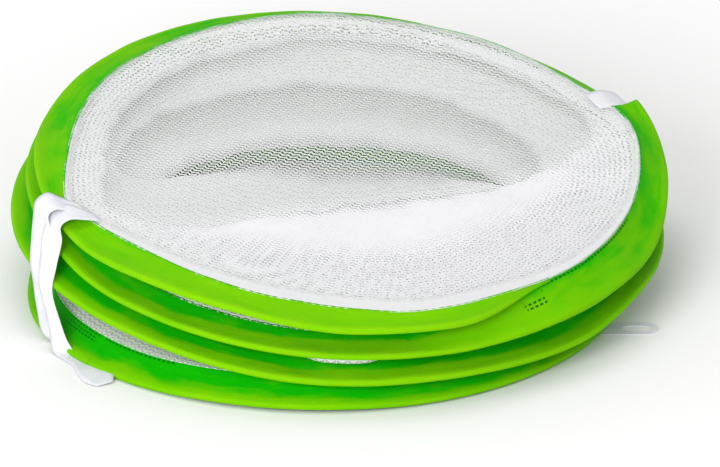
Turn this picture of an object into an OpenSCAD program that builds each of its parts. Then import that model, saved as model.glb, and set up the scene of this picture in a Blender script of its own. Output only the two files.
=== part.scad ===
// Pop-up mesh basket, folded flat and held shut by two tape ties.
// Four sprung hoops in cloth sleeves carry a net base panel and a folded net wall.
// The basket lies base up: its open mouth faces down, inside the floor hoop.

/* [Hoops] */
// Diameter of the top hoop, measured at the wire's centre
top_hoop_d = 360; // [330:1:372]
// Diameter of the second hoop down
second_hoop_d = 364; // [330:1:372]
// Diameter of the third hoop down
third_hoop_d = 367; // [330:1:372]
// Diameter of the hoop that lies on the floor
floor_hoop_d = 339; // [320:1:360]
// Diameter of the sprung steel wire
wire_d = 2; // [1.6:0.1:2.6]
// Length of the crimped tube that joins a hoop's two wire ends
ferrule_len = 14; // [8:1:24]
// Wall of that tube
ferrule_wall = 0.4; // [0.3:0.05:0.6]
// Gap left between the two wire ends inside the tube
wire_end_gap = 1; // [0.5:0.1:3]

/* [Stack] */
// Clear space between the top hoop and the second at the front
top_gap_front = 9.4; // [9:0.1:14]
// The same at the back
top_gap_back = 4.2; // [4:0.1:8]
// The same at the left
top_gap_left = 11.9; // [9:0.1:13]
// Clear space between the second hoop and the third at the front
second_gap_front = 10.4; // [9:0.1:14]
// The same at the back
second_gap_back = 12.6; // [10:0.1:24]
// The same at the left
second_gap_left = 9.2; // [8:0.1:14]
// Clear space between the third hoop and the floor hoop at the front
third_gap_front = 10.2; // [7:0.1:14]
// The same at the back
third_gap_back = 44.6; // [30:0.1:50]
// The same at the left
third_gap_left = 36.9; // [30:0.1:42]

/* [Sleeves] */
// Width of the cloth band, from the wire's centre to its stitched inner edge
band_w = 17; // [14:0.5:22]
// Angle at which the band rises inwards
band_slope = 16; // [8:1:22]
// The same on the floor hoop, whose band the wall pulls up
floor_band_slope = 36; // [16:1:40]
// Cloth left between the wire's channel and a tape that runs under it
sleeve_skin = 0.2; // [0.15:0.05:0.5]
// Thickness of one doubled layer of the band
strip_t = 0.5; // [0.4:0.05:0.8]
// Depth of the seam that holds the net's edge between the layers
seam_w = 4; // [3:0.25:6]
// How deep the floor hoop's sleeve is pressed flat where it rests
foot_cut = 0.5; // [0.4:0.05:0.7]
// Length of the lap where a sleeve's strip overlaps itself
lap_len = 16; // [10:1:26]
// Thickness of that lap
lap_t = 0.5; // [0.3:0.05:0.8]

/* [Net] */
// Thickness of the net
net_t = 0.4; // [0.3:0.05:0.5]
// Distance between the meshes of the base panel
net_pitch = 19; // [18:0.5:24]
// Width of the cords between the meshes
net_cord = 2.4; // [1.6:0.1:4]
// Width of the doubled hem round the base panel
hem_w = 9; // [6:0.5:14]
// How far the folded wall reaches inwards from its seams
fold_depth = 56; // [40:1:64]
// How much the folds wander to and fro
fold_wave = 8; // [0:0.5:9]
// Thickness of the wall where it is folded over
fold_t = 1.2; // [1:0.1:2]

/* [Ties] */
// Width of the tapes
tape_w = 20; // [12:1:24]
// Thickness of the tapes
tape_t = 0.4; // [0.3:0.05:0.5]
// How far a tie hooks in under the floor hoop
hook_len = 16; // [8:1:22]
// Length of the sewn-down end of a tie
tab_len = 7; // [5:0.5:8.5]
// Direction of the left tie, seen from above
left_tie_angle = 206; // [190:1:215]
// Direction of the right tie, seen from above
right_tie_angle = 26; // [20:1:40]
// Distance from the middle of the pull loop to the middle of the basket
loop_y = 72; // [60:1:80]
// How far the pull loop reaches to the right
loop_reach = 180; // [172:1:186]
// Length of the pull loop
loop_len = 66; // [50:1:80]
// Width of the pull loop
loop_w = 16; // [12:1:20]
// Length of the slot in its end
loop_slot = 16; // [8:1:24]
// Width of that slot
loop_slot_w = 7; // [4:0.5:8]

/* [Hidden] */
$fn = 96;

// clearances
seam_clear = 0.2; // between the layers in a seam
crimp_clear = 0.05; // between a wire and its crimped tube, and round the tube
tape_clear = 0.15; // between a tape and the sleeve above it
lap_clear = 0.05; // between a lap and its sleeve
tie_clear = 0.4; // between a tie and the hoops it goes round
recess_room = 1; // beside a tape in the recess under the floor hoop's sleeve

// the sleeve's section
wire_r = wire_d / 2;
ferrule_r = wire_r + crimp_clear + ferrule_wall;
channel_r = ferrule_r + crimp_clear;
sleeve_r = channel_r + sleeve_skin + tape_t + tape_clear + foot_cut;
notch_h = 2 * net_t + 3 * seam_clear;
band_end_t = notch_h + 2 * strip_t;
slopes = [band_slope, band_slope, band_slope, floor_band_slope];
band_run = band_w * cos(band_slope);
band_taper = asin((sleeve_r - band_end_t / 2) / band_w);
recess_h = tape_t + tape_clear;

// the hoops: where each centre lies, seen from above
hoop_r = [top_hoop_d / 2, second_hoop_d / 2, third_hoop_d / 2, floor_hoop_d / 2];
hoop_shift = [[4.5, 3], [4, 4.5], [-1.5, 1], [-11, -14]];
reach = max(hoop_r) + sleeve_r;
foot_z = sleeve_r - foot_cut;

// the planes: height at the middle, rise to the right and rise to the back
function rise_plane(front, back, left) =
    let (mid = (front + back) / 2 + 2 * sleeve_r)
    [mid, (mid - 2 * sleeve_r - left) / reach, (back - front) / (2 * reach)];
floor_plane = [foot_z, 0, 0];
third_plane = floor_plane + rise_plane(third_gap_front, third_gap_back, third_gap_left);
second_plane = third_plane + rise_plane(second_gap_front, second_gap_back, second_gap_left);
top_plane = second_plane + rise_plane(top_gap_front, top_gap_back, top_gap_left);
planes = [top_plane, second_plane, third_plane, floor_plane];

function hoop_centre(k) =
    let (p = planes[k], s = hoop_shift[k]) [s.x, s.y, p[0] + p[1] * s.x + p[2] * s.y];
function hoop_tilt(k) = atan(norm([planes[k][1], planes[k][2]]));
function hoop_axis(k) = hoop_tilt(k) == 0 ? [1, 0, 0] : [planes[k][2], -planes[k][1], 0];
function turn(p, axis, angle) =
    let (u = axis / norm(axis))
    p * cos(angle) + cross(u, p) * sin(angle) + u * (u * p) * (1 - cos(angle));
// a point of hoop k's own frame: angle round it, radius and height over its plane
function hoop_point(k, angle, r, h) =
    hoop_centre(k) + turn([r * cos(angle), r * sin(angle), h], hoop_axis(k), hoop_tilt(k));

module on_hoop(k) {
    translate(hoop_centre(k)) rotate(a = hoop_tilt(k), v = hoop_axis(k)) children();
}

// the band's directions in its section, r outwards and z up
function band_dir(k) = [-cos(slopes[k]), sin(slopes[k])];
function band_normal(k) = [sin(slopes[k]), cos(slopes[k])];
function band_point(k, along, over) =
    [hoop_r[k], 0] + band_dir(k) * (band_w - along) + band_normal(k) * over;
function band_side(k, side) =
    band_normal(k) * cos(band_taper) * side + band_dir(k) * sin(band_taper);

band_inset = 0.05; // keeps the band's straight sides just inside the round edge
module band_outline(k) {
    end = band_point(k, 0, 0);
    start = [hoop_r[k], 0];
    polygon([
        start + band_side(k, 1) * (sleeve_r - band_inset),
        end + band_side(k, 1) * band_end_t / 2,
        end + band_side(k, -1) * band_end_t / 2,
        start + band_side(k, -1) * (sleeve_r - band_inset)
    ]);
}

module sleeve_section(k) {
    difference() {
        union() {
            translate([hoop_r[k], 0]) circle(sleeve_r);
            band_outline(k);
        }
        translate([hoop_r[k], 0]) circle(channel_r);
        translate(band_point(k, 0, 0)) rotate(-slopes[k])
            translate([-1, -notch_h / 2]) square([seam_w + 1, notch_h]);
    }
}

module hoop_sleeve(k) {
    color([0.3, 0.8, 0.02]) on_hoop(k) rotate_extrude() sleeve_section(k);
}

module tie_recess(angle) {
    along = hoop_point(0, angle, hoop_r[0], 0) - hoop_point(3, 0, 0, 0);
    side = [-sin(angle), cos(angle)] * [along.x, along.y];
    translate([hoop_shift[3].x, hoop_shift[3].y, 0]) rotate(angle)
        translate([0, side - tape_w / 2 - recess_room, -sleeve_r])
            cube([hoop_r[3] + 2 * sleeve_r, tape_w + 2 * recess_room, recess_h + sleeve_r]);
}

module floor_sleeve() {
    color([0.3, 0.8, 0.02]) difference() {
        on_hoop(3) rotate_extrude() sleeve_section(3);
        translate([-2 * reach, -2 * reach, -sleeve_r]) cube([4 * reach, 4 * reach, sleeve_r]);
        tie_recess(left_tie_angle);
        tie_recess(right_tie_angle);
        translate([0, -loop_y - loop_w / 2 - recess_room, -sleeve_r])
            cube([2 * reach, loop_w + 2 * recess_room, recess_h + sleeve_r]);
    }
}

module hoop_wire(k, angle) {
    gap = wire_end_gap / hoop_r[k] * 180 / PI;
    color([0.75, 0.76, 0.78]) on_hoop(k) rotate(angle + gap / 2)
        rotate_extrude(angle = 360 - gap) translate([hoop_r[k], 0]) circle(wire_r);
}

module hoop_ferrule(k, angle) {
    span = ferrule_len / hoop_r[k] * 180 / PI;
    color([0.6, 0.61, 0.63]) on_hoop(k) rotate(angle - span / 2)
        rotate_extrude(angle = span) translate([hoop_r[k], 0]) difference() {
            circle(ferrule_r);
            circle(wire_r + crimp_clear);
        }
}

// the end of a sleeve's strip, folded over the band that it closes
module lap_section(k) {
    start = [hoop_r[k], 0];
    low = sleeve_r + lap_clear;
    high = low + lap_t;
    rise = band_end_t / 2 + lap_clear;
    end = band_point(k, 0, 0);
    far = 2 * high;
    intersection() {
        translate(start) difference() {
            circle(high);
            circle(low);
        }
        polygon([start, start + [far, 0], start + [far, far], start + band_side(k, 1) * far]);
    }
    polygon([
        start + band_side(k, 1) * low,
        start + band_side(k, 1) * high,
        end + band_side(k, 1) * (rise + lap_t),
        end + band_side(k, 1) * rise
    ]);
}
module sleeve_lap(k, angle) {
    span = lap_len / hoop_r[k] * 180 / PI;
    color([0.22, 0.7, 0.02]) on_hoop(k) rotate(angle - span / 2)
        rotate_extrude(angle = span) lap_section(k);
}

// the net base panel, its edge bent down into the sleeve's seam
top_inner_r = hoop_r[0] - band_run;
net_over = (net_t + seam_clear) / 2;
field_r = top_inner_r - hem_w - net_pitch / 2;
mesh_r = (net_pitch - net_cord) / sqrt(2);
rows = ceil(field_r / net_pitch) + 1;

net_bend = 2; // length of the bend from the flat panel into the seam
module net_edge_section() {
    inner = band_point(0, 0, net_over);
    outer = band_point(0, seam_w - seam_clear, net_over);
    up = band_normal(0) * net_t / 2;
    polygon([
        [inner.x - net_bend, inner.y - net_t / 2], inner - up, outer - up,
        outer + up, inner + up, [inner.x - net_bend, inner.y + net_t / 2]
    ]);
}

module base_net() {
    level = band_point(0, 0, net_over);
    color([0.93, 0.94, 0.95]) on_hoop(0) {
        union() {
            translate([0, 0, level.y - net_t / 2]) linear_extrude(net_t) difference() {
                circle(level.x - net_bend / 2);
                for (i = [-rows:rows], j = [-rows:rows]) {
                    place = [i, j] * net_pitch;
                    if (norm(place) < field_r) translate(place) rotate(45) circle(mesh_r, $fn = 4);
                }
            }
            rotate_extrude() net_edge_section();
        }
    }
}

module base_net_hem() {
    level = band_point(0, 0, net_over);
    color("white") on_hoop(0) rotate_extrude()
        translate([level.x - hem_w, level.y + net_t / 2 + seam_clear])
            square([hem_w - band_end_t, net_t]);
}

// a stretch of wall between two hoops, folded in on itself
wall_steps = 60; // stretches that a wall is made of, all round
function fold_reach(k, angle) =
    fold_depth + fold_wave * (sin(3 * angle + 70 * k) + 0.5 * sin(7 * angle + 130 * k)) / 1.5;
function wall_ring(k, angle) =
    let (
        up = [0, 0, net_t / 2],
        deep = seam_w - seam_clear,
        top_in = band_point(k, 0, -net_over),
        top_out = band_point(k, deep, -net_over),
        low_in = band_point(k + 1, 0, net_over),
        low_out = band_point(k + 1, deep, net_over),
        a0 = hoop_point(k, angle, top_out.x, top_out.y),
        a1 = hoop_point(k, angle, top_in.x, top_in.y),
        b1 = hoop_point(k + 1, angle, low_in.x, low_in.y),
        b0 = hoop_point(k + 1, angle, low_out.x, low_out.y),
        far = fold_reach(k, angle),
        f0 = hoop_point(k, angle, top_in.x - far, top_in.y),
        f1 = hoop_point(k + 1, angle, low_in.x - far, low_in.y),
        fold = (f0 + f1) / 2,
        inside = fold + [cos(angle), sin(angle), 0] * 2 * fold_t
    )
    [
        a0 + up, a1 + up, fold + [0, 0, fold_t / 2], fold - [0, 0, fold_t / 2], b1 - up, b0 - up,
        b0 + up, b1 + up, inside, a1 - up, a0 - up
    ];

module wall_net(k) {
    rings = [for (i = [0:wall_steps - 1]) each wall_ring(k, i * 360 / wall_steps)];
    n = 11;
    faces = [
        for (i = [0:wall_steps - 1], j = [0:n - 1])
            let (a = i * n + j, b = i * n + (j + 1) % n, c = (i + 1) % wall_steps * n)
            each [[a, b, c + (j + 1) % n], [a, c + (j + 1) % n, c + j]]
    ];
    color([0.88, 0.9, 0.9]) polyhedron(rings, faces);
}

// the doubled end of a tie, sewn over the hem: its rounded fold is what the tie turns on
tab_t = 2 * tape_t + seam_clear;
fold_spot = [
    top_inner_r - band_end_t / 2,
    band_point(0, 0, net_over).y + 1.5 * net_t + 2 * seam_clear + tab_t / 2
];

// a tie's path in the upright plane through the top hoop's centre: across, then up
function plan_dir(angle) = [cos(angle), sin(angle), 0];
function in_plane(p, angle) = [(p - hoop_centre(0)) * plan_dir(angle), p.z];
function edge_spot(k, angle) =
    let (
        off = hoop_centre(k) - hoop_centre(0),
        aside = max(abs(off * plan_dir(angle + 90)) - tape_w / 2, 0),
        across = off * plan_dir(angle) + sqrt(hoop_r[k] ^ 2 - aside ^ 2),
        p = hoop_centre(0) + across * plan_dir(angle)
    ) [across, planes[k] * [1, p.x, p.y]];
function arc_points(centre, r, from, to, count) =
    [for (i = [0:count]) let (a = from + (to - from) * i / count) centre + r * [cos(a), sin(a)]];
round_r = sleeve_r + tie_clear + tape_t / 2;
bends = 4; // straight stretches in the bend over the top hoop
function tie_path(angle) =
    let (
        fold = in_plane(hoop_point(0, angle, fold_spot.x, fold_spot.y), angle),
        crest = in_plane(hoop_point(0, angle, top_inner_r, fold_spot.y), angle),
        top = in_plane(hoop_point(0, angle, hoop_r[0], 0), angle),
        second = edge_spot(1, angle),
        third = edge_spot(2, angle),
        low = edge_spot(3, angle),
        second_x = max(top.x, second.x) + round_r + tie_clear,
        third_x = max(second_x, third.x + round_r + tie_clear)
    )
    [
        fold + [tab_t / 2 + seam_clear / 2, 0],
        crest,
        each arc_points(top, round_r, 90 - band_slope + band_taper, 0, bends),
        [second_x, second.y],
        [third_x, third.y],
        [low.x + round_r + 2 * tie_clear, low.y],
        [low.x + sleeve_r, tape_t / 2],
        [low.x - hook_len, tape_t / 2]
    ];
// a strip of even thickness along a path of points
function strip_side(path, i, side) =
    let (
        last = len(path) - 1,
        a = path[max(i - 1, 0)],
        b = path[i],
        c = path[min(i + 1, last)],
        u = i == 0 ? (c - b) / norm(c - b) : (b - a) / norm(b - a),
        v = i == last ? u : (c - b) / norm(c - b),
        n = [-(u + v).y, (u + v).x] / norm(u + v),
        lean = n * [-u.y, u.x]
    ) b + n * side / lean;
// the tie, a flat tape that lies square to the top hoop and turns level on its way down
module tie(angle) {
    path = tie_path(angle);
    last = len(path) - 1;
    turned = bends + 2; // how many points of the path lie square to the top hoop
    tangent = hoop_point(0, angle + 90, 1, 0) - hoop_centre(0);
    points = [
        for (i = [0:last])
            let (
                along = i < turned ? tangent : plan_dir(angle + 90),
                a = strip_side(path, i, tape_t / 2),
                b = strip_side(path, i, -tape_t / 2)
            )
            each [for (c = [[a, -1], [a, 1], [b, 1], [b, -1]])
                [hoop_centre(0).x, hoop_centre(0).y, 0] + plan_dir(angle) * c[0].x
                + [0, 0, c[0].y] + along * c[1] * tape_w / 2]
    ];
    ends = [[3, 2, 1, 0], [for (j = [0:3]) 4 * last + j]];
    sides = [
        for (i = [0:last - 1], j = [0:3])
            let (a = 4 * i + j, b = 4 * i + (j + 1) % 4)
            each [[a, b + 4, a + 4], [a, b, b + 4]]
    ];
    color("white") polyhedron(points, concat(ends, sides));
}

module tie_tab(angle) {
    color("white") on_hoop(0) rotate(angle) translate([fold_spot.x, 0, fold_spot.y]) {
        translate([-tab_len, -tape_w / 2, -tab_t / 2]) cube([tab_len, tape_w, tab_t]);
        rotate([90, 0, 0]) cylinder(h = tape_w, d = tab_t, center = true, $fn = 24);
    }
}

module pull_loop() {
    end = loop_reach - loop_w / 2;
    color("white") translate([0, -loop_y, 0]) linear_extrude(tape_t) difference() {
        union() {
            translate([loop_reach - loop_len, -loop_w / 2]) square([loop_len - loop_w / 2, loop_w]);
            translate([end, 0]) circle(loop_w / 2);
        }
        translate([end, 0]) circle(loop_slot_w / 2);
        translate([end - loop_slot + loop_slot_w, 0]) circle(loop_slot_w / 2);
        translate([end - loop_slot + loop_slot_w, -loop_slot_w / 2])
            square([loop_slot - loop_slot_w, loop_slot_w]);
    }
}

crimp_angle = [120, 60, 150, 40];
lap_angle = [-62, 75, 100, 227];

hoop_wire(0, crimp_angle[0]);  // top_hoop_wire
hoop_wire(1, crimp_angle[1]);  // second_hoop_wire
hoop_wire(2, crimp_angle[2]);  // third_hoop_wire
hoop_wire(3, crimp_angle[3]);  // floor_hoop_wire
hoop_ferrule(0, crimp_angle[0]);  // top_hoop_ferrule
hoop_ferrule(1, crimp_angle[1]);  // second_hoop_ferrule
hoop_ferrule(2, crimp_angle[2]);  // third_hoop_ferrule
hoop_ferrule(3, crimp_angle[3]);  // floor_hoop_ferrule
hoop_sleeve(0);  // top_hoop_sleeve
hoop_sleeve(1);  // second_hoop_sleeve
hoop_sleeve(2);  // third_hoop_sleeve
floor_sleeve();  // floor_hoop_sleeve
sleeve_lap(0, lap_angle[0]);  // top_sleeve_lap
sleeve_lap(1, lap_angle[1]);  // second_sleeve_lap
sleeve_lap(2, lap_angle[2]);  // third_sleeve_lap
sleeve_lap(3, lap_angle[3]);  // floor_sleeve_lap
base_net();
base_net_hem();
wall_net(0);  // upper_wall_net
wall_net(1);  // middle_wall_net
wall_net(2);  // lower_wall_net
tie(left_tie_angle);  // left_tie
tie_tab(left_tie_angle);  // left_tie_tab
tie(right_tie_angle);  // right_tie
tie_tab(right_tie_angle);  // right_tie_tab
pull_loop();
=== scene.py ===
import bpy, bmesh, math
import numpy as np
from mathutils import Matrix, Vector, noise


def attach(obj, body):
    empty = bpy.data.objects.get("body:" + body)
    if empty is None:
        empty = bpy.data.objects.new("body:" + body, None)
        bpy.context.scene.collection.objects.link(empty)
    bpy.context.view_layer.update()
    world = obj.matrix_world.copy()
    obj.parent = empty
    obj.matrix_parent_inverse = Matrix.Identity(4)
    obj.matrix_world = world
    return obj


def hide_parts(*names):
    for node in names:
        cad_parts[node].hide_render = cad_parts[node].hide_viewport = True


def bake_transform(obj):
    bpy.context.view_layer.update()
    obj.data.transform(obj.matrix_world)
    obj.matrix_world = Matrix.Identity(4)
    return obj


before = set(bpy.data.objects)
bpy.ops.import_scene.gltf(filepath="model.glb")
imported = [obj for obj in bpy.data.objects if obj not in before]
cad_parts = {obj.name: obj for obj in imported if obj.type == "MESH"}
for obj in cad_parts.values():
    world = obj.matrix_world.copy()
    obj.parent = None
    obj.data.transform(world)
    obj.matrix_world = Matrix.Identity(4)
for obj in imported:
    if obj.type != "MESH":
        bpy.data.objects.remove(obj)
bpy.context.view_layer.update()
scene = bpy.context.scene
mm = 0.001
print("frame loaded,", len(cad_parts), "nodes")


def smooth(x, low, high):
    t = np.clip((np.asarray(x, float) - low) / (high - low), 0, 1)
    return t * t * (3 - 2 * t)


def ringValue(angle, points):
    # smooth value round a ring, from (angle in degrees, value) pairs in order
    xs, ys = np.array(points, float).T
    xs = np.concatenate([xs - 360, xs, xs + 360])
    ys = np.tile(ys, 3)
    slopes = np.gradient(ys, xs)
    x = (np.asarray(angle, float) + 180) % 360 - 180
    i = np.clip(np.searchsorted(xs, x, side="right") - 1, 0, len(xs) - 2)
    step = xs[i + 1] - xs[i]
    t = (x - xs[i]) / step
    rise = t * t * (3 - 2 * t)
    bend = t * (1 - t) * ((1 - t) * slopes[i] - t * slopes[i + 1]) * step
    return ys[i] + (ys[i + 1] - ys[i]) * rise + bend


def lumps(points, size, seed=0):
    # organic noise from -1 to 1 at each point, for wrinkles of that size
    shift = Vector((seed * 7.3, seed * 3.1, seed * 1.7))
    return np.array([noise.noise(Vector(p) / size + shift) for p in points])


def readPoints(mesh):
    co = np.zeros(len(mesh.vertices) * 3)
    mesh.vertices.foreach_get("co", co)
    return co.reshape(-1, 3)


def writePoints(mesh, co):
    mesh.vertices.foreach_set("co", np.asarray(co, np.float32).ravel())
    mesh.update()


def makeObject(name, bm, material, shadeSmooth=True):
    mesh = bpy.data.meshes.new(name)
    bm.to_mesh(mesh)
    bm.free()
    mesh.materials.append(material)
    mesh.polygons.foreach_set("use_smooth", [shadeSmooth] * len(mesh.polygons))
    obj = bpy.data.objects.new(name, mesh)
    scene.collection.objects.link(obj)
    return obj


def setUv(obj, uv):
    # one (u, v) per vertex, in metres, with the last face of a ring carried past its end
    mesh = obj.data
    layer = mesh.uv_layers.new(name="cloth")
    corner = np.zeros(len(mesh.loops), np.int32)
    mesh.loops.foreach_get("vertex_index", corner)
    flat = np.asarray(uv, float)[corner]
    starts = np.zeros(len(mesh.polygons), np.int32)
    mesh.polygons.foreach_get("loop_start", starts)
    face = np.repeat(np.arange(len(starts)), np.diff(np.append(starts, len(corner))))
    low = np.minimum.reduceat(flat[:, 0], starts)[face]
    high = np.maximum.reduceat(flat[:, 0], starts)[face]
    whole = uv[:, 0].max() - uv[:, 0].min()
    wrapped = (high - low > whole / 2) & (flat[:, 0] < (low + high) / 2)
    flat[wrapped, 0] += whole
    layer.data.foreach_set("uv", flat.astype(np.float32).ravel())


def setValue(obj, name, value):
    layer = obj.data.attributes.new(name, "FLOAT", "POINT")
    layer.data.foreach_set("value", np.asarray(value, np.float32))


class Hoop:
    # a hoop as its CAD wire lies; lift and spread, in mm by angle, bend it out of plane and round
    def __init__(self, name, lift, spread, slope, width=17 * mm):
        wire = readPoints(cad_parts[name + "_hoop_wire"].data)
        self.centre = (wire.max(0) + wire.min(0)) / 2
        normal = np.linalg.svd(wire - wire.mean(0), full_matrices=False)[2][2]
        self.normal = normal * np.sign(normal[2])
        turn = Vector((0, 0, 1)).rotation_difference(Vector(self.normal)).to_matrix()
        self.turn = np.array(turn)
        self.radius = float(np.linalg.norm(wire - self.centre, axis=1).mean())
        self.lift, self.spread = lift, spread
        self.run = width * math.cos(math.radians(slope))
        self.rise = width * math.sin(math.radians(slope))

    def flat(self, angle, r, h):
        # angle in degrees, r and h in metres, in the plane of the CAD hoop
        a = np.radians(angle)
        local = np.stack([r * np.cos(a), r * np.sin(a), h + 0 * a], -1)
        return self.centre + local @ self.turn.T

    def place(self, angle, inset, h):
        # inset inwards from the bent hoop and h above it
        r = self.radius + ringValue(angle, self.spread) * mm - inset
        return self.flat(angle, r, h + ringValue(angle, self.lift) * mm)

    def seam(self, angle, inward=0.0, up=0.0):
        # the stitched inner edge of the hoop's band
        return self.place(angle, self.run + inward, self.rise + up)


level = [(-180, 0), (-60, 0), (60, 0)]
top = Hoop("top", slope=16, spread=[(-180, -2), (-160, -0.5), (-120, 0), (0, 0), (120, 0)], lift=[
    (-178, 2), (-163, 1), (-148, -2.6), (-131, 0.9), (-110, 1.8), (-93, -1.3), (-75, 0.8),
    (-40, 0.5), (0, 0), (30, -3), (46, -4.6), (64, -4), (86, -0.8), (112, 0.7), (150, -0.7), (166, -2.4)])
second = Hoop("second", slope=16, width=18.5 * mm, spread=level, lift=[
    (-173, 3.8), (-160, 2.6), (-145, -1.3), (-125, -1.7), (-95, -2.6), (-70, -1.6), (-45, 0.8),
    (-20, 0), (0, -2), (40, -3), (90, 0), (140, 0), (170, 2)])
third = Hoop("third", slope=16, width=18.5 * mm, spread=[
    (-180, 1.5), (-163, 1.8), (-145, 0), (0, 0), (120, 0)], lift=[
    (-175, -1), (-150, 1), (-130, 1.4), (-95, -1.3), (-65, 0.4), (-38, -1.4), (-24, 1.8), (-6, -1), (60, 0),
    (140, 0)])
floorHoop = Hoop("floor", slope=42, width=18 * mm, lift=[
    (-150, 0.2), (-128, 0.1), (-110, 1.4), (-88, 1.6), (-66, 0.8), (-40, 0.6), (0, 0.3), (90, 0.3)],
    spread=[(-180, -4.5), (-163, -0.8), (-140, 0), (-110, -1.2), (-87, -1.4), (-60, -0.4), (0, 0), (90, 0),
            (150, -3)])
print("hoops read")


def newMaterial(name, colour, roughness):
    material = bpy.data.materials.new(name)
    material.use_nodes = True
    shader = material.node_tree.nodes["Principled BSDF"]
    shader.inputs["Base Color"].default_value = (*colour, 1)
    shader.inputs["Roughness"].default_value = roughness
    return material, material.node_tree, shader


def addNode(tree, kind, **values):
    node = tree.nodes.new(kind)
    for key, value in values.items():
        if hasattr(node, key):
            setattr(node, key, value)
        else:
            node.inputs[key.replace("_", " ")].default_value = value
    return node


def mathNode(tree, operation, a, b=None, c=None):
    node = tree.nodes.new("ShaderNodeMath")
    node.operation = operation
    for i, value in enumerate((a, b, c)):
        if value is None:
            continue
        if isinstance(value, (int, float)):
            node.inputs[i].default_value = value
        else:
            tree.links.new(value, node.inputs[i])
    return node.outputs[0]


def rangeNode(tree, value, low, high):
    # 0 below low, 1 above high, smooth between them
    node = addNode(tree, "ShaderNodeMapRange", interpolation_type="SMOOTHSTEP", From_Min=low, From_Max=high)
    tree.links.new(value, node.inputs["Value"])
    return node.outputs["Result"]


def mixNode(tree, factor, a, b):
    node = addNode(tree, "ShaderNodeMix", data_type="RGBA")
    for socket, value in ((node.inputs["Factor"], factor), (node.inputs[6], a), (node.inputs[7], b)):
        if isinstance(value, tuple):
            socket.default_value = (*value, 1)
        elif isinstance(value, (int, float)):
            socket.default_value = value
        else:
            tree.links.new(value, socket)
    return node.outputs[2]


def uvNodes(tree):
    place = addNode(tree, "ShaderNodeTexCoord")
    uv = addNode(tree, "ShaderNodeSeparateXYZ")
    tree.links.new(place.outputs["UV"], uv.inputs[0])
    return place, uv.outputs["X"], uv.outputs["Y"]


def addBump(tree, shader, height, strength, distance):
    bump = addNode(tree, "ShaderNodeBump", Strength=strength, Distance=distance)
    tree.links.new(height, bump.inputs["Height"])
    tree.links.new(bump.outputs["Normal"], shader.inputs["Normal"])


def addTranslucent(tree, shader, colour, share):
    # lets light pass through the cloth
    through = addNode(tree, "ShaderNodeBsdfTranslucent", Color=(*colour, 1))
    mix = addNode(tree, "ShaderNodeMixShader")
    mix.inputs["Fac"].default_value = share
    tree.links.new(shader.outputs[0], mix.inputs[1])
    tree.links.new(through.outputs[0], mix.inputs[2])
    tree.links.new(mix.outputs[0], tree.nodes["Material Output"].inputs["Surface"])
    return mix


clothLook = {
    # the deep green is painted shade and the ridge green a painted highlight
    "paintedShadeColour": (0.006, 0.55, 0.002),
    "colour": (0.19, 0.64, 0.002),
    "paintedHighlightColour": (0.26, 0.68, 0.004),
    "stitchColour": (0.004, 0.16, 0.008),
    "roughness": 0.5,
    "threadPitch": 1.1 * mm,
    "stitchPitch": 3.6 * mm,
    "stitchWidth": 0.9 * mm,
    "stitchRows": ((1.7 * mm, 1), (1.7 * mm, 2), (3.6 * mm, 2), (5.5 * mm, 2), (6.8 * mm, 3), (8.7 * mm, 3)),
}


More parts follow.
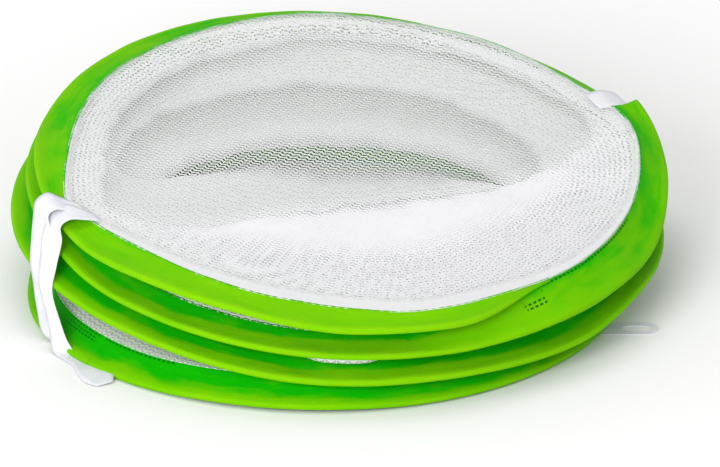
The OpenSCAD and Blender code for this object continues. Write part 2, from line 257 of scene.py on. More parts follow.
def makeClothMaterial():
    # satin nylon with painted light: painted shade in deep green towards the stitched edge, where the band
    # lies in shade by the seam and under the hoop above, and a painted highlight, yellower, where it bulges
    # over the wire
    p = clothLook
    material, tree, shader = newMaterial("greenSatinNylon", p["colour"], p["roughness"])
    place, along, across = uvNodes(tree)
    paintedLight = addNode(tree, "ShaderNodeAttribute", attribute_name="paintedLight").outputs["Fac"]
    marks = addNode(tree, "ShaderNodeAttribute", attribute_name="marks").outputs["Fac"]
    patch = addNode(tree, "ShaderNodeTexNoise", Scale=30.0, Detail=4.0, Roughness=0.55)
    tree.links.new(place.outputs["Object"], patch.inputs["Vector"])
    lengthened = addNode(tree, "ShaderNodeMapping", Scale=(30.0, 170.0, 1.0))
    tree.links.new(place.outputs["UV"], lengthened.inputs["Vector"])
    crease = addNode(tree, "ShaderNodeTexNoise", Scale=1.0, Detail=4.0, Roughness=0.6, Distortion=0.4)
    tree.links.new(lengthened.outputs["Vector"], crease.inputs["Vector"])
    # uneven tone in blotches, plus painted light and shade of the long wrinkles from the same noise as their
    # bump
    toneAndPaintedWrinkleShade = mathNode(tree, "ADD", patch.outputs["Fac"], crease.outputs["Fac"])
    paintedLightAndTone = mathNode(tree, "MULTIPLY_ADD", toneAndPaintedWrinkleShade, 1.3, mathNode(tree, "SUBTRACT", paintedLight, 1.3))
    # painted shade turns the green deep, and a painted highlight turns it yellower over the roll
    green = mixNode(tree, rangeNode(tree, paintedLightAndTone, 0.0, 0.9), p["paintedShadeColour"], p["colour"])
    green = mixNode(tree, rangeNode(tree, paintedLightAndTone, 0.9, 1.75), green, p["paintedHighlightColour"])
    turn = mathNode(tree, "FRACT", mathNode(tree, "DIVIDE", along, p["stitchPitch"]))
    stitch = mathNode(tree, "LESS_THAN", turn, 0.6)
    rows = 0.0
    for row, kind in p["stitchRows"]:
        off = mathNode(tree, "ABSOLUTE", mathNode(tree, "SUBTRACT", across, row))
        onLine = mathNode(tree, "LESS_THAN", off, p["stitchWidth"] / 2)
        onLine = mathNode(tree, "MULTIPLY", onLine, mathNode(tree, "COMPARE", marks, kind, 0.4))
        rows = mathNode(tree, "MAXIMUM", onLine, rows)
    stitch = mathNode(tree, "MULTIPLY", stitch, rows)
    tree.links.new(mixNode(tree, stitch, green, p["stitchColour"]), shader.inputs["Base Color"])
    weave = mathNode(tree, "SINE", mathNode(tree, "MULTIPLY", along, 2 * math.pi / p["threadPitch"]))
    height = mathNode(tree, "MULTIPLY_ADD", weave, 0.06, crease.outputs["Fac"])
    height = mathNode(tree, "SUBTRACT", height, mathNode(tree, "MULTIPLY", stitch, 0.3))
    addBump(tree, shader, height, 0.6, 1.0 * mm)
    shader.inputs["Specular IOR Level"].default_value = 0.04
    shader.inputs["Specular Tint"].default_value = (0.45, 1.0, 0.03, 1)
    shader.inputs["Sheen Weight"].default_value = 0.05
    shader.inputs["Sheen Roughness"].default_value = 0.4
    shader.inputs["Sheen Tint"].default_value = (0.55, 1.0, 0.02, 1)
    addTranslucent(tree, shader, (0.06, 0.62, 0.002), 0.25)
    return material


netLook = {
    "cell": (2.5 * mm, 2.9 * mm),
    "turn": -25,
    "yarn": (0.07, 0.24),
    "slant": 1.7 * mm,
}


def makeYarnMaterial(name, colour, passing, holes=0.0, dense=False, fadeFrom=None):
    # white knitted yarn that lets light through; holes is how clear its slanted meshes are, and a dense
    # net has none along its fold
    p = netLook
    material, tree, shader = newMaterial(name, colour, 0.8)
    place, along, across = uvNodes(tree)
    fuzz = addNode(tree, "ShaderNodeTexNoise", Scale=700.0, Detail=2.0)
    tree.links.new(place.outputs["Object"], fuzz.inputs["Vector"])
    addBump(tree, shader, fuzz.outputs["Fac"], 0.25, 0.3 * mm)
    shader.inputs["Specular IOR Level"].default_value = 0.2
    mix = addTranslucent(tree, shader, colour, passing)
    if holes:
        column = mathNode(tree, "DIVIDE", along, p["cell"][0])
        wave = mathNode(tree, "PINGPONG", column, 1.0)
        shifted = mathNode(tree, "MULTIPLY_ADD", wave, p["slant"], across)
        row = mathNode(tree, "DIVIDE", shifted, p["cell"][1])
        inColumn = mathNode(tree, "SUBTRACT", mathNode(tree, "FRACT", column), 0.5)
        inColumn = mathNode(tree, "ABSOLUTE", inColumn)
        inRow = mathNode(tree, "ABSOLUTE", mathNode(tree, "SUBTRACT", mathNode(tree, "FRACT", row), 0.5))
        open1 = mathNode(tree, "LESS_THAN", inColumn, 0.5 - p["yarn"][0])
        open2 = mathNode(tree, "LESS_THAN", inRow, 0.5 - p["yarn"][1])
        clear = mathNode(tree, "MULTIPLY", mathNode(tree, "MULTIPLY", open1, open2), holes)
        if dense:
            fold = addNode(tree, "ShaderNodeAttribute", attribute_name="open")
            clear = mathNode(tree, "MULTIPLY", clear, fold.outputs["Fac"])
    if fadeFrom:
        worn = addNode(tree, "ShaderNodeTexNoise", Scale=260.0, Detail=3.0)
        tree.links.new(place.outputs["Object"], worn.inputs["Vector"])
        inner = mathNode(tree, "MULTIPLY_ADD", worn.outputs["Fac"], 3.0 * mm, across)
        clear = mathNode(tree, "SUBTRACT", 1.0, rangeNode(tree, inner, fadeFrom[0], fadeFrom[1]))
    if holes or fadeFrom:
        clearShader = addNode(tree, "ShaderNodeBsdfTransparent")
        cut = addNode(tree, "ShaderNodeMixShader")
        tree.links.new(clear, cut.inputs["Fac"])
        tree.links.new(mix.outputs[0], cut.inputs[1])
        tree.links.new(clearShader.outputs[0], cut.inputs[2])
        tree.links.new(cut.outputs[0], tree.nodes["Material Output"].inputs["Surface"])
    return material


def makeTapeMaterial():
    # woven tape with fine cross ribs
    material, tree, shader = newMaterial("wovenTape", (0.80, 0.80, 0.85), 0.6)
    place, along, across = uvNodes(tree)
    ribs = mathNode(tree, "SINE", mathNode(tree, "MULTIPLY", along, 2 * math.pi / (0.7 * mm)))
    yarns = mathNode(tree, "SINE", mathNode(tree, "MULTIPLY", across, 2 * math.pi / (0.9 * mm)))
    crush = addNode(tree, "ShaderNodeTexNoise", Scale=90.0, Detail=3.0)
    tree.links.new(place.outputs["Object"], crush.inputs["Vector"])
    weave = mathNode(tree, "MULTIPLY", ribs, yarns)
    height = mathNode(tree, "MULTIPLY_ADD", weave, 0.06, crush.outputs["Fac"])
    addBump(tree, shader, height, 0.35, 0.8 * mm)
    # partly random tone, partly painted shade: the tape is darker where the crush noise dips into its creases
    paintedCreaseShade = rangeNode(tree, crush.outputs["Fac"], 0.35, 0.65)
    shade = mixNode(tree, paintedCreaseShade, (0.76, 0.76, 0.83), (0.83, 0.83, 0.87))
    tree.links.new(shade, shader.inputs["Base Color"])
    shader.inputs["Sheen Weight"].default_value = 0.15
    addTranslucent(tree, shader, (0.80, 0.80, 0.86), 0.12)
    return material


greenCloth = makeClothMaterial()
netYarn = makeYarnMaterial("netYarn", (0.94, 0.94, 0.95), 0.5)
wallNet = makeYarnMaterial("wallNet", (0.94, 0.95, 0.94), 0.28, holes=0.45)
foldedNet = makeYarnMaterial("foldedNet", (0.95, 0.95, 0.96), 0.15, holes=0.85, dense=True)
hemNet = makeYarnMaterial("hemNet", (0.86, 0.86, 0.87), 0.25, fadeFrom=(1.5 * mm, 7.5 * mm))
wovenTape = makeTapeMaterial()
print("materials made")


sleeve = {
    "ridge": 2.15 * mm,     # radius of the roll over the wire
    "edge": 1.2 * mm,       # thickness of the stitched edge
    "hollow": 0.7 * mm,     # how far the band sinks between
    "steps": 720,
    "cloth": 0.3 * mm,
}


def sleeveSection():
    # from the stitched edge over the top, round the wire and back below, as (inwards as a share, up)
    p = sleeve
    points = []
    for i in range(13):
        t = i / 12
        swell = p["edge"] / 2 + (p["ridge"] - p["edge"] / 2) * t ** 1.6
        points.append((1 - t, swell - p["hollow"] * math.sin(math.pi * t) ** 1.3))
    for i in range(1, 12):
        a = math.radians(90 + 180 * i / 12)
        points.append((p["ridge"] * math.cos(a), p["ridge"] * math.sin(a)))
    for i in range(11):
        t = 1 - i / 10
        swell = p["edge"] / 2 + (p["ridge"] - p["edge"] / 2) * t ** 1.6
        points.append((1 - t, 0.8 * p["hollow"] * math.sin(math.pi * t) - swell))
    return points


# how strongly the bands are painted lit, yellower in mid-width: less at the back and the right, where less
# light falls on them
paintedSideLight = [(-180, 0.6), (-145, 0.75), (-115, 1.05), (-70, 1.05), (-40, 0.7), (0, 0.5), (60, 0.5), (130, 0.5)]


def makeSleeve(name, seat, first, last, paintedLight, marks=(), seed=1):
    # seat(angle) gives the wire's centre, the stitched edge and the roll's size; the painted light argument
    # gives where, in mm from the stitched edge by angle, the painted shade turns from deep green to full,
    # over how many mm, and how much yellower the roll's painted highlight gets
    section = sleeveSection()
    full = last - first >= 360
    steps = max(8, round(sleeve["steps"] * (last - first) / 360))
    bm = bmesh.new()
    verts = [bm.verts.new((2 - i / len(section), 0, 0)) for i in range(len(section))]
    edges = [bm.edges.new(pair) for pair in zip(verts, verts[1:])]
    bmesh.ops.rotate(bm, verts=verts, matrix=Matrix.Rotation(math.radians(first), 3, "Z"))
    bmesh.ops.spin(bm, geom=verts + edges, axis=(0, 0, 1), angle=math.radians(last - first),
                   steps=steps, use_merge=full, use_duplicate=False)
    bmesh.ops.recalc_face_normals(bm, faces=bm.faces)
    obj = makeObject(name, bm, greenCloth)
    co = readPoints(obj.data)
    part = np.rint((2 - np.hypot(co[:, 0], co[:, 1])) * len(section)).astype(int)
    angle = np.degrees(np.arctan2(co[:, 1], co[:, 0]))
    angle = first + (angle - first + 1e-3) % 360 - 1e-3
    share, up = np.array(section)[part].T
    centre, edge, size = seat(angle)
    towards = edge - centre
    width = np.linalg.norm(towards, axis=1)
    towards /= width[:, None]
    around = np.stack([-np.sin(np.radians(angle)), np.cos(np.radians(angle)), 0 * angle], -1)
    rise = np.cross(around, towards)
    rise /= np.linalg.norm(rise, axis=1)[:, None]
    inward = np.where(share > 0, share * width, share * size)
    up = up * (size + (1 - size) * np.clip(share, 0, 1))
    moved = centre + towards * inward[:, None] + rise * up[:, None]
    lengths = np.array([(s * 17 * mm if s > 0 else s, u) for s, u in section])
    run = np.concatenate([[0], np.cumsum(np.linalg.norm(np.diff(lengths, axis=0), axis=1))])[part]
    share = np.clip(share, 0, 1)
    # the stitching draws in short puckers, and long wrinkles run over the band
    lengthwise = np.radians(angle) * 0.18
    phase = lengthwise / (5.2 * mm) * 2 * math.pi + 2.5 * lumps(moved, 0.03, seed)
    gather = np.sin(phase) * np.exp(-run / (4 * mm))
    soft = lumps(moved, 0.028, seed + 1) * 0.9 * mm * np.sin(math.pi * np.clip(share + 0.1, 0, 1))
    fine = lumps(np.stack([angle * 0.0010, run, 0 * run], -1), 0.006, seed + 2) * 0.22 * mm
    roll = lumps(moved, 0.07, seed + 3) * 0.3 * mm
    moved += rise * (gather * 0.11 * mm + soft + fine)[:, None] - towards * (roll * (1 - share))[:, None]
    writePoints(obj.data, moved)
    setUv(obj, np.stack([lengthwise, run], -1))
    under = part > 24
    # painted light: painted shade by the stitched edge, a painted highlight on the roll over the wire, and
    # painted shade on the roll's lower flank, where the ridge shades the crevice below it
    paintedRidgeHighlight = paintedLight[2] * smooth(run / mm, 12.5, 18.5) * np.clip((size - 0.4) / 0.5, 0, 1)
    begin = ringValue(angle, paintedLight[0])
    paintedBrightness = smooth(run / mm, begin, begin + paintedLight[1]) * ringValue(angle, paintedSideLight)
    paintedBrightness += paintedRidgeHighlight - 0.8 * smooth(run / mm, 20, 24)
    setValue(obj, "paintedLight", np.where(under, 0.9, paintedBrightness))
    spots = np.zeros(len(angle))
    for low, high, kind in marks:
        spots = np.where((angle > low) & (angle < high), kind, spots)
    setValue(obj, "marks", spots)
    shell = obj.modifiers.new("cloth", "SOLIDIFY")
    shell.thickness, shell.offset = sleeve["cloth"], -1
    return obj


def plainSeat(hoop, tuck=None, drop=0.0, size=1.0):
    def seat(angle):
        inset = tuck(angle) if tuck else 0 * angle
        fall = -drop * inset
        return hoop.place(angle, inset, fall), hoop.seam(angle, inset, fall), size + 0 * angle
    return seat


# where the net meets the top hoop's band: its distance from the hoop's middle and its height over
# the hoop's plane, in mm by angle
netEdge = {
    "radius": [(-179, 160), (-172, 163), (-164, 168.3), (-159, 171.6), (-154, 169), (-149, 165.4),
               (-142, 162.6),
               (-120, 163.2), (-108, 164), (-97, 162.8), (-88, 165), (-80, 168.4), (-70, 167.4), (-60, 164.6),
               (-45, 164.6), (-25, 163.3), (0, 164), (20, 166), (34, 163), (46, 163), (60, 165), (84, 164.3),
               (98, 167), (112, 165), (132, 162.4), (150, 161.2), (163, 159)],
    "height": [(-178, 5.7), (-159, 4.8), (-148, 2.9), (-140, 4), (-120, 6), (-104, 5), (-95, 3.8), (-80, 4.7),
               (-63, 5.3), (-43, 6), (-26, 7.2), (-9, 9.6), (2, 12.4), (12, 14), (20, 13), (30, 10.2),
               (45, 7.8),
               (60, 7.6), (86, 8), (110, 7.5), (132, 6.3), (160, 5.2)],
    "middle": 4.8 * mm,
}


def netSpot(angle, r, up=0.0):
    # a point of the stretched net, at radius r
    edge = ringValue(angle, netEdge["radius"]) * mm
    s = np.clip(r / edge, 0, 1.05) ** 2.2
    height = ringValue(angle, netEdge["height"]) * mm * s + netEdge["middle"] * (1 - s)
    return top.flat(angle, r, height + up)


def netBorder(angle, inward=0.0, up=0.0):
    return netSpot(angle, ringValue(angle, netEdge["radius"]) * mm - inward, up)


# the top sleeve's strip ends in a taper at the front right, over the strip that comes up from the second hoop
taper = {"from": 288, "to": 313, "left": 0.10}


def topSeat(angle):
    centre = top.place(angle, 0, 0)
    edge = netBorder(angle, up=0.3 * mm)
    t = smooth(angle, taper["from"], taper["to"])
    keep = 1 - t * (1 - taper["left"])
    return edge + (centre - edge) * keep[:, None], edge, 1 - 0.6 * t


# the strip that crosses from the second hoop up to the top hoop
crossing = Hoop("second", slope=16, width=18.5 * mm, spread=[
    (-90, 0), (-80, 0), (-65, 0.2), (-40, 0.2), (-20, -1.2), (0, -2.4), (22, -1), (32, -1), (180, 0)], lift=[
    (-95, -2.8), (-84, -2.4), (-70, -1.5), (-55, 0.3), (-44, 1.9), (-32, 1.6), (-20, 0.6), (-14, 2),
    (-9, 4.8), (-4, 8.6), (2, 11), (9, 12), (16, 14), (24, 17), (32, 17), (180, 0)])


def crossingSeat(angle):
    centre = crossing.place(angle, 0, 0)
    under = top.place(angle, top.run - 1.5 * mm, top.rise - 2.2 * mm)
    edge = second.seam(angle, 0.5 * mm, -0.5 * mm)
    edge += (under - edge) * smooth(angle, -84, -60)[:, None]
    edge += (netBorder(angle, up=0.2 * mm) - edge) * smooth(angle, -57, -47)[:, None]
    return centre, edge, 0.8 + 0.22 * smooth(angle, -90, -66)


def secondTuck(angle):
    a = (angle + 180) % 360 - 180
    return 7.0 * mm * smooth(a, -42, -14) * (1 - smooth(a, 60, 85))


# painted light for each sleeve: where the painted shade by the stitched edge ends, in mm by angle, over how
# many mm it turns full green, and how strong the painted highlight on the roll is
topPaintedLight = ([(-180, -2), (-60, -3), (60, -2)], 6, 0.7)
crossingPaintedLight = ([(-100, 3.5), (-80, 3.5), (-58, -1), (60, 0), (180, 0)], 10, 0.5)
secondPaintedLight = ([(-180, 8), (-150, 8), (-115, 6), (-90, 3.5), (-60, 3.5), (60, 4)], 5.5, 0.5)
thirdPaintedLight = ([(-180, 7.5), (-140, 7.5), (-90, 5.5), (-40, 5.5), (60, 6)], 6.5, 0.6)
floorPaintedLight = ([(-180, 4), (-150, 4), (-120, 5), (-90, 8), (-40, 8), (60, 6)], 13, 0.3)
floorMarks = [(-141, -122, 1), (-154.5, -143, 2)]
topSleeve = makeSleeve("topSleeve", topSeat, 32.5, 313, topPaintedLight, seed=2)
crossingSleeve = makeSleeve("crossingSleeve", crossingSeat, -92, 25.5, crossingPaintedLight,
                            [(-49, -18, 1), (-55, -49.5, 3)], seed=3)
secondSleeve = makeSleeve("secondSleeve", plainSeat(second, secondTuck, 0.5), -180, 180, secondPaintedLight, seed=4)
thirdSleeve = makeSleeve("thirdSleeve", plainSeat(third), -180, 180, thirdPaintedLight, seed=5)
floorSleeve = makeSleeve("floorSleeve", plainSeat(floorHoop), -180, 180, floorPaintedLight, floorMarks, seed=6)
floorLap = makeSleeve("floorLap", plainSeat(floorHoop, size=1.15), -150, -140.5, floorPaintedLight, floorMarks,
                      seed=7)
print("sleeves made")


net = {"outer": 1.5 * mm}


def makeBaseNet():
    # a grid whose cells open into slanted slits, row over row
    cell = netLook["cell"]
    reach = 173 * mm
    columns, rows = int(2 * reach / cell[0]), int(2 * reach / cell[1])
    squash = netLook["yarn"][0] / netLook["yarn"][1]
    bm = bmesh.new()
    bmesh.ops.create_grid(bm, x_segments=columns, y_segments=rows, size=0.5)
    bmesh.ops.scale(bm, verts=bm.verts, vec=(columns, rows * squash, 1))
    scale = (cell[0], cell[1] / squash)
    far = []
    for face in bm.faces:
        middle = face.calc_center_median()
        x, y = middle.x * scale[0], middle.y * scale[1]
        angle = math.degrees(math.atan2(y, x)) + netLook["turn"]
        if math.hypot(x, y) > ringValue(angle, netEdge["radius"]) * mm + net["outer"]:
            far.append(face)
    bmesh.ops.delete(bm, geom=far, context="FACES")
    holes = list(bm.faces)
    bmesh.ops.inset_individual(bm, faces=holes, thickness=netLook["yarn"][0], use_even_offset=True)
    bmesh.ops.delete(bm, geom=holes, context="FACES")
    bmesh.ops.scale(bm, verts=bm.verts, vec=(*scale, 1))
    obj = makeObject("baseNet", bm, netYarn)
    co = readPoints(obj.data)
    wave = np.abs((co[:, 0] / (2 * cell[0])) % 1 - 0.5) * 2
    x = co[:, 0] + lumps(co, 0.06, 10) * 1.5 * mm
    y = co[:, 1] + (wave - 0.5) * netLook["slant"] + lumps(co, 0.05, 9) * 3.0 * mm
    r, angle = np.hypot(x, y), np.degrees(np.arctan2(y, x)) + netLook["turn"]
    edge = ringValue(angle, netEdge["radius"]) * mm
    r = np.minimum(r, edge + net["outer"])
    waves = lumps(co, 0.05, 11) * 0.9 * mm * np.clip(1 - (r / edge) ** 6, 0, 1)
    writePoints(obj.data, netSpot(angle, r, waves))
    setUv(obj, co[:, :2])
    return obj


baseNet = makeBaseNet()

hem = {
    "steps": 720,
    "across": 6,
    "width": [(-178, 5), (-160, 6), (-145, 9), (-120, 13), (-90, 16), (-60, 14), (-30, 9), (0, 6), (60, 5),
              (120, 4)],
}


def makeHem():
    bm = bmesh.new()
    count = hem["across"]
    verts = [bm.verts.new((1 + i / count, 0, 0)) for i in range(count + 1)]
    edges = [bm.edges.new(pair) for pair in zip(verts, verts[1:])]
    bmesh.ops.spin(bm, geom=verts + edges, axis=(0, 0, 1), angle=2 * math.pi, steps=hem["steps"],
                   use_merge=True, use_duplicate=False)
    bmesh.ops.recalc_face_normals(bm, faces=bm.faces)
    obj = makeObject("netHem", bm, hemNet)
    co = readPoints(obj.data)
    angle = np.degrees(np.arctan2(co[:, 1], co[:, 0]))
    share = np.hypot(co[:, 0], co[:, 1]) - 1
    width = ringValue(angle, hem["width"]) * mm + lumps(co * 0.05, 0.004, 12) * 1.0 * mm
    inward = width * (1 - share) - 1.0 * mm
    spots = netBorder(angle, inward)
    wrinkle = lumps(spots, 0.010, 13) * 0.25 * mm
    writePoints(obj.data, netBorder(angle, inward, 0.45 * mm + wrinkle))
    setUv(obj, np.stack([np.radians(angle) * 0.16, share * width], -1))
    shell = obj.modifiers.new("cloth", "SOLIDIFY")
    shell.thickness, shell.offset = 0.3 * mm, 0
    return obj


netHem = makeHem()

# how far each stretch of wall folds inwards, in mm by angle, and where one bulges out under a ridge
walls = {
    "steps": 300,
    "across": 24,
    "cloth": 0.3 * mm,
    "dense": (0.30, 0.62),      # a long fold lies doubled, and hides what is under it
    "upper": [(-179, 24), (-150, 32), (-137, 66), (-127, 98), (-110, 117), (-92, 130), (-60, 128), (-30, 116),
              (-8, 84), (8, 48), (22, 16), (45, 11), (80, 12), (110, 16), (150, 20)],
    "middle": [(-180, 44), (-150, 90), (-120, 96), (-60, 96), (-30, 90), (0, 60), (60, 36), (120, 36)],
    "lower": [(-180, 50), (-110, 60), (-40, 58), (30, 40), (100, 40)],
    # how far the middle wall's fold is pushed back from the front
    "push": [(-180, 10), (-150, 74), (-120, 108), (-90, 116), (-60, 108), (-30, 74), (0, 20), (40, 0),
             (140, 0)],
    "bulge": {"angle": -91, "half": 11, "out": 19 * mm, "down": 13.5 * mm, "at": 0.95, "wide": 0.08},
}


def makeWall(name, highSpot, lowSpot, reach, seed, material, push=None, bulge=None):
    # highSpot and lowSpot give a point at some distance inwards from the upper and the lower seam
    count = 2 * walls["across"]
    bm = bmesh.new()
    verts = [bm.verts.new((1 + i, 0, 0)) for i in range(count + 1)]
    edges = [bm.edges.new(pair) for pair in zip(verts, verts[1:])]
    bmesh.ops.spin(bm, geom=verts + edges, axis=(0, 0, 1), angle=2 * math.pi, steps=walls["steps"],
                   use_merge=True, use_duplicate=False)
    bmesh.ops.recalc_face_normals(bm, faces=bm.faces)
    obj = makeObject(name, bm, material)
    co = readPoints(obj.data)
    angle = np.degrees(np.arctan2(co[:, 1], co[:, 0]))
    t = np.rint(np.hypot(co[:, 0], co[:, 1]) - 1) / walls["across"] - 1
    t = np.sign(t) * np.abs(t) ** 0.65
    around = np.stack([np.cos(np.radians(angle)), np.sin(np.radians(angle)), 0 * angle], -1)
    depth = ringValue(angle, reach) * mm + lumps(around, 0.12, seed) * 5 * mm
    start, finish = highSpot(angle, -1 * mm), lowSpot(angle, -1 * mm)
    fold = (highSpot(angle, depth) + lowSpot(angle, depth)) / 2
    if push:
        fold[:, 1] += ringValue(angle, push) * mm
    side = np.abs(t)[:, None]
    moved = fold + (np.where((t < 0)[:, None], start, finish) - fold) * side
    # the two layers bow apart between the fold and the seams
    gap = np.linalg.norm(start - finish, axis=1)
    bow = np.sign(-t) * np.sin(math.pi * np.sqrt(np.abs(t))) * np.minimum(gap * 0.16, 3.0 * mm)
    wrinkle = lumps(moved, 0.024, seed + 1) * 1.6 * mm + lumps(moved, 0.011, seed + 2) * 0.5 * mm
    loose = np.sin(math.pi * 0.5 * np.clip(1 - np.abs(t), 0, 1)) * (np.abs(t) < 0.97)
    moved[:, 2] += (bow + wrinkle) * loose
    if bulge:
        aside = (angle - bulge["angle"]) / bulge["half"]
        down = (t + bulge["at"]) / bulge["wide"]
        near = np.exp(-aside ** 4 - down ** 2)
        moved += around * (near * bulge["out"])[:, None]
        moved[:, 2] -= near * bulge["down"]
    writePoints(obj.data, moved)
    setUv(obj, np.stack([np.radians(angle) * 0.14, np.sign(t) * depth * (1 - np.abs(t)) + 0.2], -1))
    setValue(obj, "open", 1 - (1 - smooth(np.abs(t), *walls["dense"])) * smooth(depth, 45 * mm, 85 * mm))
    shell = obj.modifiers.new("cloth", "SOLIDIFY")
    shell.thickness, shell.offset = walls["cloth"], 0
    return obj


def underNet(angle, inward):
    return netBorder(angle, inward, -1.3 * mm)


def seamOf(hoop, up):
    def spot(angle, inward):
        return hoop.seam(angle, inward, up)
    return spot


upperWall = makeWall("upperWall", underNet, seamOf(second, 0.2 * mm), walls["upper"], 20, foldedNet)
middleWall = makeWall("middleWall", seamOf(second, -0.9 * mm), seamOf(third, 0.2 * mm), walls["middle"], 30,
                      wallNet, walls["push"], walls["bulge"])
lowerWall = makeWall("lowerWall", seamOf(third, -0.9 * mm), seamOf(floorHoop, 0.2 * mm), walls["lower"], 40,
                     wallNet)
for wall in (upperWall, middleWall, lowerWall):
    print(wall.name, "area", round(sum(f.area for f in wall.data.polygons), 4))


ribbon = {
    "steps": 90,
    "across": 6,
    "cloth": 0.4 * mm,
    "crush": 0.35 * mm,         # depth of the creases
    "crease": 0.012,            # and their size, in metres
}


def makeRibbon(name, strips, seed):
    # each strip is a width and its stations: (x, y, z, direction of the width, share of the width), in mm
    bm = bmesh.new()
    for i in range(len(strips)):
        made = bmesh.ops.create_grid(bm, x_segments=ribbon["steps"], y_segments=ribbon["across"],
                                     size=0.5)["verts"]
        bmesh.ops.translate(bm, verts=made, vec=(2 * i, 0, 0))
    obj = makeObject(name, bm, wovenTape)
    co = readPoints(obj.data)
    which = np.rint(co[:, 0] / 2).astype(int)
    uv = np.zeros((len(co), 2))
    moved = np.zeros_like(co)
    lengths = []
    for number, (width, stations) in enumerate(strips):
        points = np.array(stations, float)
        mine = which == number
        share, side = co[mine, 0] - 2 * number + 0.5, co[mine, 1]
        run = np.concatenate([[0], np.cumsum(np.linalg.norm(np.diff(points[:, :3], axis=0), axis=1))])
        slopes = np.gradient(points, run, axis=0)
        t = share * run[-1]
        i = np.clip(np.searchsorted(run, t, side="right") - 1, 0, len(run) - 2)
        step = run[i + 1] - run[i]
        f = (t - run[i]) / step
        rise = (f * f * (3 - 2 * f))[:, None]
        bend = (f * (1 - f) * step)[:, None] * ((1 - f)[:, None] * slopes[i] - f[:, None] * slopes[i + 1])
        value = points[i] + (points[i + 1] - points[i]) * rise + bend
        spread = value[:, 3:6] / np.linalg.norm(value[:, 3:6], axis=1)[:, None]
        spots = (value[:, :3] + spread * (side * width * value[:, 6])[:, None]) * mm
        crush = lumps(spots, ribbon["crease"], seed + number) * ribbon["crush"]
        moved[mine] = spots + crush[:, None] * np.cross(spread, [0.3, 0.2, 0.9])
        uv[mine] = np.stack([t * mm, (side + 0.5 + number) * width * mm], -1)
        lengths.append(run[-1] * mm)
    moved[:, 2] = np.maximum(moved[:, 2], 0.3 * mm)
    writePoints(obj.data, moved)
    setUv(obj, uv)
    shell = obj.modifiers.new("cloth", "SOLIDIFY")
    shell.thickness, shell.offset = ribbon["cloth"], 0
    return obj, lengths


# the left tie is a doubled tape: two tails from one seam, over the rim and down under the floor hoop
leftTails = [(18, [
    (-146, -69, 73.6, 0.45, -0.89, -0.10, 0.75),
    (-156, -67, 75.4, 0.40, -0.91, -0.12, 0.95),
    (-164, -66, 77.2, 0.34, -0.93, -0.14, 1.0),
    (-169, -67, 74, 0.40, -0.91, -0.12, 1.0),
    (-169.5, -69.5, 65, 0.58, -0.81, -0.05, 1.0),
    (-169, -73.5, 54, 0.74, -0.67, 0, 1.0),
    (-171, -77, 41, 0.62, -0.78, 0, 0.95),
    (-170.5, -79.5, 27, 0.50, -0.86, 0, 0.85),
    (-168.8, -84, 13, 0.50, -0.86, 0, 0.75),
    (-165.5, -91, 3.6, 0.55, -0.83, 0, 0.7),
    (-158, -96, 1.0, 0.70, -0.70, 0, 0.8),
    (-148, -102, 0.9, 0.75, -0.66, 0, 0.8)]),
    (17, [
    (-138, -77.5, 72, 0.50, -0.86, -0.10, 0.5),
    (-147, -76, 74, 0.30, -0.95, -0.12, 0.8),
    (-155.5, -75.5, 74.8, 0.22, -0.97, -0.12, 1.0),
    (-161.5, -77, 71.2, 0.34, -0.93, -0.12, 1.0),
    (-163.5, -79.5, 62, 0.66, -0.74, -0.05, 0.95),
    (-166, -83, 47, 0.66, -0.74, 0, 0.85),
    (-167.5, -88.5, 34, 0.60, -0.80, 0, 0.75),
    (-163.5, -97, 20, 0.60, -0.80, 0, 0.8),
    (-160, -103, 9, 0.70, -0.71, 0, 0.85),
    (-157, -107, 2.4, 0.90, -0.30, 0.05, 0.8),
    (-149.5, -116, 1.2, 0.88, 0.40, 0.05, 0.6),
    (-141, -132, 1.6, 0.88, 0.47, 0.10, 1.0),
    (-135.5, -142.5, 1.8, 0.88, 0.47, 0.10, 0.95),
    (-133.2, -147, 1.2, 0.88, 0.47, 0.05, 0.6)])]
leftTie, leftLengths = makeRibbon("leftTie", leftTails, seed=51)
rightTie, rightLengths = makeRibbon("rightTie", [(20, [
    (143.6, 77.9, 73.2, 0.474, -0.88, -0.1, 0.9),
    (150.7, 81.7, 73.3, 0.474, -0.88, -0.1, 1.0),
    (157.7, 85.5, 71.2, 0.474, -0.88, -0.1, 1.0),
    (163, 88.3, 67.4, 0.474, -0.88, -0.1, 1.0),
    (166.3, 90, 61, 0.474, -0.88, 0, 1.0),
    (167.4, 90.6, 52, 0.474, -0.88, 0, 1.0),
    (165.6, 89.6, 40, 0.474, -0.88, 0, 1.0),
    (160, 87, 26, 0.474, -0.88, 0, 1.0),
    (152, 83, 12, 0.474, -0.88, 0, 1.0),
    (143, 78.5, 3, 0.474, -0.88, 0, 1.0),
    (131, 72, 0.9, 0.474, -0.88, 0, 1.0)])], seed=53)
print("tapes made")

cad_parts["pull_loop"].data.materials.clear()
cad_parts["pull_loop"].data.materials.append(wovenTape)

wires = {hoop: (hoop + "_hoop_wire", hoop + "_hoop_ferrule") for hoop in ("top", "second", "third", "floor")}
for piece, hoop in ((topSleeve, "top"), (secondSleeve, "second"), (thirdSleeve, "third"),
                    (floorSleeve, "floor")):
    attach(piece, hoop + "_hoop")
    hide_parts(hoop + "_hoop_sleeve", *wires[hoop])
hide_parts("top_sleeve_lap")
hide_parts("second_sleeve_lap")
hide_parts("third_sleeve_lap")
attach(floorLap, "floor_hoop")
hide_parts("floor_sleeve_lap")
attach(baseNet, "top_hoop")
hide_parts("base_net")
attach(netHem, "top_hoop")
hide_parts("base_net_hem", "left_tie_tab", "right_tie_tab")
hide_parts("upper_wall_net")
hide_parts("middle_wall_net")
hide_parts("lower_wall_net")
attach(leftTie, "left_tie_tape")
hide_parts("left_tie")
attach(rightTie, "right_tie_tape")
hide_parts("right_tie")


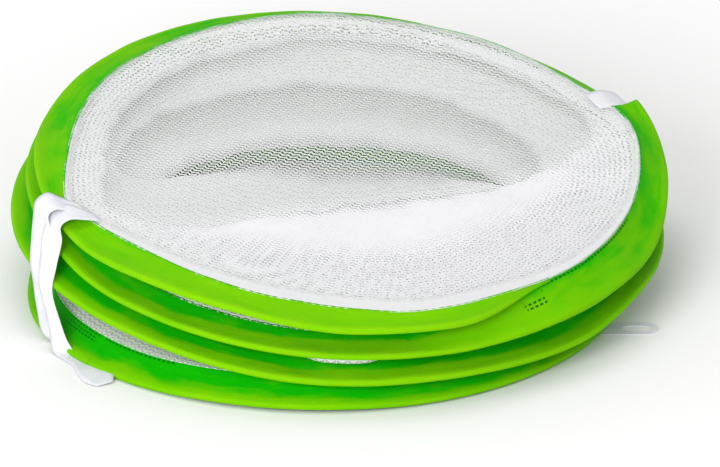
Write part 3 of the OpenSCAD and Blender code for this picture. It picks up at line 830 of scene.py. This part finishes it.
def bendBetween(obj, highSpot, lowSpot):
    # works out the plane half-way between the cloth's two seams, which is not used, and bakes the cloth's
    # placement into its mesh
    angle = np.arange(-180.0, 180.0, 2.0)
    upper, lower = highSpot(angle, -1 * mm), lowSpot(angle, -1 * mm)
    middle = (upper + lower) / 2
    centre = middle.mean(0)
    normal = np.linalg.svd(middle - centre, full_matrices=False)[2][2]
    normal *= np.sign(normal[2])
    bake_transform(obj)


bendBetween(upperWall, underNet, seamOf(second, 0.2 * mm))
bendBetween(middleWall, seamOf(second, -0.9 * mm), seamOf(third, 0.2 * mm))
bendBetween(lowerWall, seamOf(third, -0.9 * mm), seamOf(floorHoop, 0.2 * mm))
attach(crossingSleeve, "top_hoop")

studio = {
    "aim": (10.5 * mm, 0, 26.2 * mm),
    "elevation": 25,
    "distance": 12.0,
    "frameWidth": 410.4 * mm,
    "skyLight": 0.69,
    "sensor": 36,
    "floorHalf": 6,
    "floorPaintedShade": (0.875, 0.87, 0.87),
    "floorFar": (1.0, 1.0, 1.0),
    "floorTurns": (0.2, 0.6),       # the floor's painted shade round the object fades to white between these distances
    "lampAim": (0, 0, 0.04),
    "lampSize": 1.4,
    "frontLamp": {"place": (-0.85, -2.0, 0.95), "power": 36},
    "topLamp": {"place": (-0.2, 0.3, 2.2), "power": 12},
}
# painted shade: the floor is darker near the object and white farther out
floorMaterial, floorTree, floorShader = newMaterial("paleFloor", (0.93, 0.93, 0.93), 0.9)
floorPlace = addNode(floorTree, "ShaderNodeTexCoord")
floorRun = addNode(floorTree, "ShaderNodeVectorMath", operation="LENGTH")
floorTree.links.new(floorPlace.outputs["Object"], floorRun.inputs[0])
farAway = rangeNode(floorTree, floorRun.outputs["Value"], *studio["floorTurns"])
floorPaintedShading = mixNode(floorTree, farAway, studio["floorPaintedShade"], studio["floorFar"])
floorTree.links.new(floorPaintedShading, floorShader.inputs["Base Color"])
bm = bmesh.new()
bmesh.ops.create_grid(bm, x_segments=1, y_segments=1, size=studio["floorHalf"])
floor = makeObject("studioFloor", bm, floorMaterial, False)


def addLamp(name, place, power):
    data = bpy.data.lights.new(name, "AREA")
    data.shape, data.size, data.energy = "DISK", studio["lampSize"], power
    lamp = bpy.data.objects.new(name, data)
    lamp.location = place
    lamp.rotation_mode = "QUATERNION"
    lamp.rotation_quaternion = (Vector(place) - Vector(studio["lampAim"])).to_track_quat("Z", "Y")
    scene.collection.objects.link(lamp)


for lampName in ("frontLamp", "topLamp"):
    addLamp(lampName, **studio[lampName])
world = bpy.data.worlds.new("studioWorld")
scene.world = world
world.use_nodes = True
sky = world.node_tree
skyShader = sky.nodes["Background"]
skyShader.inputs["Color"].default_value = (1, 1, 1, 1)
path = addNode(sky, "ShaderNodeLightPath")
brightness = addNode(sky, "ShaderNodeMapRange", To_Min=studio["skyLight"], To_Max=1.0)
sky.links.new(path.outputs["Is Camera Ray"], brightness.inputs["Value"])
sky.links.new(brightness.outputs["Result"], skyShader.inputs["Strength"])
scene.view_settings.view_transform = "Standard"

cameraData = bpy.data.cameras.new("studioCamera")
cameraData.sensor_width = studio["sensor"]
cameraData.lens = studio["sensor"] * studio["distance"] / studio["frameWidth"]
cameraData.clip_end = 100
camera = bpy.data.objects.new("studioCamera", cameraData)
tilt = math.radians(studio["elevation"])
back = Vector((0, -math.cos(tilt), math.sin(tilt)))
camera.location = Vector(studio["aim"]) + back * studio["distance"]
camera.rotation_mode = "QUATERNION"
camera.rotation_quaternion = back.to_track_quat("Z", "Y")
scene.collection.objects.link(camera)
scene.camera = camera
print("stage made")
